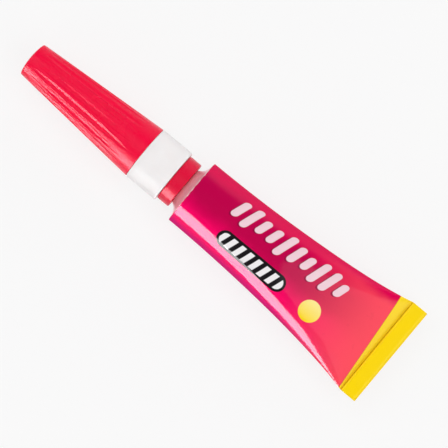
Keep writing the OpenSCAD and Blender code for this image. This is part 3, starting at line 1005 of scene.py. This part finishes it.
def white_plastic():
    """Soft white polyethylene, a little see-through at thin places."""
    n = Nodes(
        "white_plastic",
        IOR=1.12,
        Subsurface_Weight=0.25,
        Subsurface_Scale=0.0012,
        Subsurface_Radius=(1.0, 0.85, 0.8),
    )
    cloud = n.noise(size=2.0, detail=3.0)
    n.set(
        Base_Color=n.mix(cloud, *MILK_WHITE),
        Roughness=n.between(n.noise(size=0.5, detail=3.0), low=0.45, high=0.58),
    )
    n.bump((cloud, CLOUD_BUMP), (n.noise(size=0.10), PEEL_BUMP))
    return n.material


def steel_wire():
    """Drawn steel wire with fine lines along it."""
    n = Nodes("steel_wire", Metallic=1.0)
    lines = n.noise(size=0.03, stretch=(0.02, 1, 1))
    n.set(Base_Color=n.mix(lines, *WIRE_GREY), Roughness=n.between(lines, low=0.16, high=0.32))
    n.bump((lines, WIRE_BUMP))
    return n.material


def clear_adhesive():
    """Clear liquid with a faint cloud in it."""
    n = Nodes("clear_adhesive", IOR=1.45, Transmission_Weight=0.95)
    cloud = n.noise(size=3.0)
    n.set(Base_Color=n.mix(cloud, *CLEAR), Roughness=n.between(cloud, low=0.02, high=0.06))
    n.bump((cloud, LIQUID_BUMP))
    return n.material


def seal_film():
    """Tan sealing film."""
    n = Nodes("seal_film", IOR=1.5)
    speck = n.noise(size=0.35, detail=4.0, rough=0.6)
    n.set(Base_Color=n.mix(speck, *TAN), Roughness=n.between(speck, low=0.40, high=0.62))
    n.bump((speck, FILM_BUMP))
    return n.material


# The pieces, each on its body and in place of its CAD node
def dress(obj, material, body, node):
    """Gives a piece its material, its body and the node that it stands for."""
    obj.data.materials.append(material)
    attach(obj, body)
    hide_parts(node)
    return obj


lacquer_material = lacquer()
cap_red = red_plastic("cap_red", CAP_RED)
ring_red = red_plastic("ring_red", RING_RED)
coated_pieces = [
    dress(tube_body(), lacquer_material, "tube", "tube_shell"),
    dress(tail_fold(), lacquer_material, "tube", "tube_shell"),
    dress(nozzle_body(), white_plastic(), "nozzle", "nozzle"),
]
red_pieces = [
    dress(spacer_ring(), ring_red, "spacer_ring", "safety_ring"),
    dress(fluted_cap(), cap_red, "cap", "cap"),
]
dress(shoulder_and_neck(), bare_aluminium_with_painted_reflection(), "tube", "tube_shell")
dress(orifice_pin(), steel_wire(), "pin", "cap_pin")
for node, material in (("tail_seal", seal_film()), ("adhesive_fill", clear_adhesive())):
    frame["nodes"][node].data.materials.clear()
    frame["nodes"][node].data.materials.append(material)


# The studio: a pale floor, a world that is bright at the horizon and dim overhead, and soft lamps
FLOOR_SIZE = 4000.0
FLOOR_SHADE = 0.82
FLOOR_GLOW = 0.80
FLOOR_SHADOW = 0.15
HORIZON = 0.95
OVERHEAD = 0.06
FADE_FROM = 0.08
FADE_TO = 0.45

# A strip lamp that shows as the stripe along the tube, and dimmer in the red plastics
STRIP_PLACE = (12, 60, 22.5)
STRIP_AIM = (12, 0, 22.5)
STRIP_W = 98
STRIP_H = 43
STRIP_RADIANCE = 25.0
RED_STRIP_RADIANCE = 18.0

# The other lamps, aimed at the origin: name, place, width, height, radiance, and whether gloss mirrors them
BOXES = (
    ("upper_box", (0, 210, 190), 200, 130, 0.9, False),
    ("tail_box", (-270, 0, 270), 400, 400, 1.2, True),
    ("nose_box", (270, 0, 270), 400, 400, 1.0, True),
    ("top_box", (0, -60, 400), 500, 300, 1.35, False),
    ("far_box", (0, -260, 120), 300, 160, 1.2, False),
    ("near_box", (0, 260, 100), 300, 160, 0.85, False),
)

# The camera; its clip distances are in metres
VIEW_W = 68.09
LENS = 150.0
SENSOR_W = 36.0
CAMERA_X = -3.14
CAMERA_Y = 0.63
CAMERA_TURN_DEG = 219.79
CLIP_NEAR_M = 0.01
CLIP_FAR_M = 20.0


def fed(tree, kind, *sources):
    """A new node whose first inputs come from other nodes."""
    node = tree.nodes.new(kind)
    for socket, source in zip(node.inputs, sources):
        tree.links.new(source, socket)
    return node


def diffuse(tree, shade):
    """Output of a plain grey surface."""
    node = tree.nodes.new("ShaderNodeBsdfDiffuse")
    node.inputs["Color"].default_value = (shade, shade, shade, 1)
    return node.outputs[0]


def either(tree, a, b):
    """The greater of two numbers."""
    node = fed(tree, "ShaderNodeMath", a, b)
    node.operation = "MAXIMUM"
    return node.outputs[0]


def floor():
    """Pale floor that looks near white to the camera and in gloss, and keeps a faint shadow."""
    half = FLOOR_SIZE / 2
    verts = [(-half, -half, 0), (half, -half, 0), (half, half, 0), (-half, half, 0)]
    obj = mesh_object("floor", verts, [(0, 1, 2, 3)])
    material = bpy.data.materials.new("pale_floor")
    material.use_nodes = True
    tree = material.node_tree
    tree.nodes.clear()
    glow = tree.nodes.new("ShaderNodeEmission")
    glow.inputs["Strength"].default_value = FLOOR_GLOW
    bright = fed(tree, "ShaderNodeAddShader", glow.outputs[0], diffuse(tree, FLOOR_SHADOW))
    path = tree.nodes.new("ShaderNodeLightPath").outputs
    seen = either(tree, path["Is Camera Ray"], path["Is Glossy Ray"])
    seen = either(tree, seen, path["Is Transmission Ray"])
    pick = fed(tree, "ShaderNodeMixShader", seen, diffuse(tree, FLOOR_SHADE), bright.outputs[0])
    fed(tree, "ShaderNodeOutputMaterial", pick.outputs[0])
    obj.data.materials.append(material)


def world():
    """A pale horizon and a dimmer ceiling."""
    made = bpy.data.worlds.new("studio")
    made.use_nodes = True
    bpy.context.scene.world = made
    tree = made.node_tree
    place = tree.nodes.new("ShaderNodeTexCoord")
    split = fed(tree, "ShaderNodeSeparateXYZ", place.outputs["Generated"])
    fade = fed(tree, "ShaderNodeMapRange", split.outputs[2])
    fade.interpolation_type = "SMOOTHSTEP"
    ends = {"From Min": FADE_FROM, "From Max": FADE_TO, "To Min": HORIZON, "To Max": OVERHEAD}
    for key, value in ends.items():
        fade.inputs[key].default_value = value
    ground = tree.nodes["Background"]
    ground.inputs["Color"].default_value = (1, 1, 1, 1)
    tree.links.new(fade.outputs[0], ground.inputs["Strength"])


def softbox(name, place, aim, width, height, radiance, mirrored=True, lights=True):
    """A rectangular lamp of even radiance that looks at a point, seen in gloss or not, lighting or not."""
    data = bpy.data.lights.new(name, "AREA")
    data.shape = "RECTANGLE"
    data.size = width * MM
    data.size_y = height * MM
    data.energy = radiance * math.pi * data.size * data.size_y
    obj = bpy.data.objects.new(name, data)
    obj.visible_glossy = mirrored
    obj.visible_diffuse = lights
    bpy.context.scene.collection.objects.link(obj)
    at = np.array(place, float)
    back = at - np.array(aim, float)
    back /= np.linalg.norm(back)
    side = np.cross((0, 0, 1), back)
    side /= np.linalg.norm(side)
    up = np.cross(back, side)
    for row in range(3):
        for column, axis in enumerate((side, up, back)):
            obj.matrix_world[row][column] = axis[row]
    obj.location = [c * MM for c in at]
    return obj


def light_only(lamp, pieces):
    """Keeps a lamp to some pieces."""
    lit = bpy.data.collections.new(lamp.name + "_lit")
    for piece in pieces:
        lit.objects.link(piece)
    lamp.light_linking.receiver_collection = lit


def camera():
    """Straight down, turned so that the tube lies across the picture as in the photo."""
    data = bpy.data.cameras.new("photo_camera")
    data.lens = LENS
    data.sensor_width = SENSOR_W
    data.clip_start = CLIP_NEAR_M
    data.clip_end = CLIP_FAR_M
    obj = bpy.data.objects.new("photo_camera", data)
    bpy.context.scene.collection.objects.link(obj)
    height = AXIS_Z + VIEW_W * LENS / SENSOR_W
    obj.location = (CAMERA_X * MM, CAMERA_Y * MM, height * MM)
    obj.rotation_euler = (0, 0, math.radians(CAMERA_TURN_DEG))
    bpy.context.scene.camera = obj


floor()
world()
strip = softbox("strip", STRIP_PLACE, STRIP_AIM, STRIP_W, STRIP_H, STRIP_RADIANCE, lights=False)
light_only(strip, coated_pieces)
red_strip = softbox("red_strip", STRIP_PLACE, STRIP_AIM, STRIP_W, STRIP_H, RED_STRIP_RADIANCE, lights=False)
light_only(red_strip, red_pieces)
for name, place, width, height, radiance, mirrored in BOXES:
    softbox(name, place, (0, 0, 0), width, height, radiance, mirrored)
camera()
bpy.context.scene.view_settings.view_transform = "Standard"
